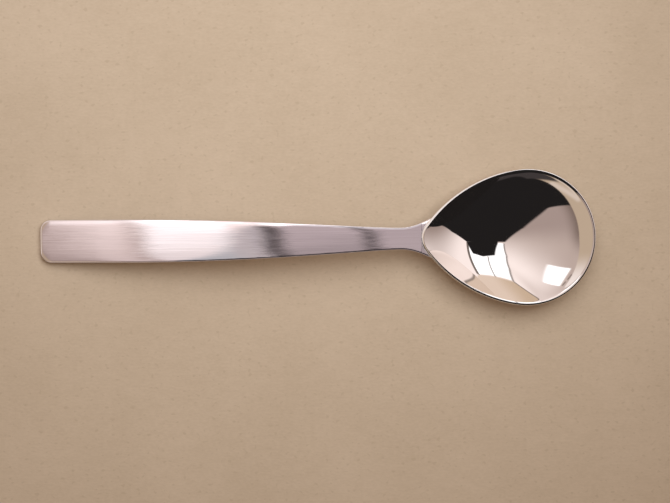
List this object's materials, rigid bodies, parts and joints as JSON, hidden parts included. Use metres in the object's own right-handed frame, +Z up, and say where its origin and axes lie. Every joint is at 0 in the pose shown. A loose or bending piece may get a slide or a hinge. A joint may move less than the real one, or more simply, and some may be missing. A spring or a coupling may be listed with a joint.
{
  "type": "sugar spoon",
  "caption": "Small serving spoon with a mirror-polished pear-shaped bowl soldered on to an arched satin handle, for sugar.",
  "frame": {"origin": "on the table, below the middle of the spoon's length and width", "axes": "+X from the handle's end to the bowl's tip, +Z up out of the bowl's mouth, the spoon lying as it rests on a table"},
  "size_m": [0.1399, 0.0344, 0.0117],
  "materials": {
    "satin_steel": "satin, brushed lengthwise",
    "polished_steel": "mirror polish with faint use scratches",
    "silver_solder": "bright solder line, wiped flush"
  },
  "bodies": {
    "root": {"handle": "satin_steel", "bowl": "polished_steel", "solder_seam": "silver_solder"}
  },
  "joints": []
}
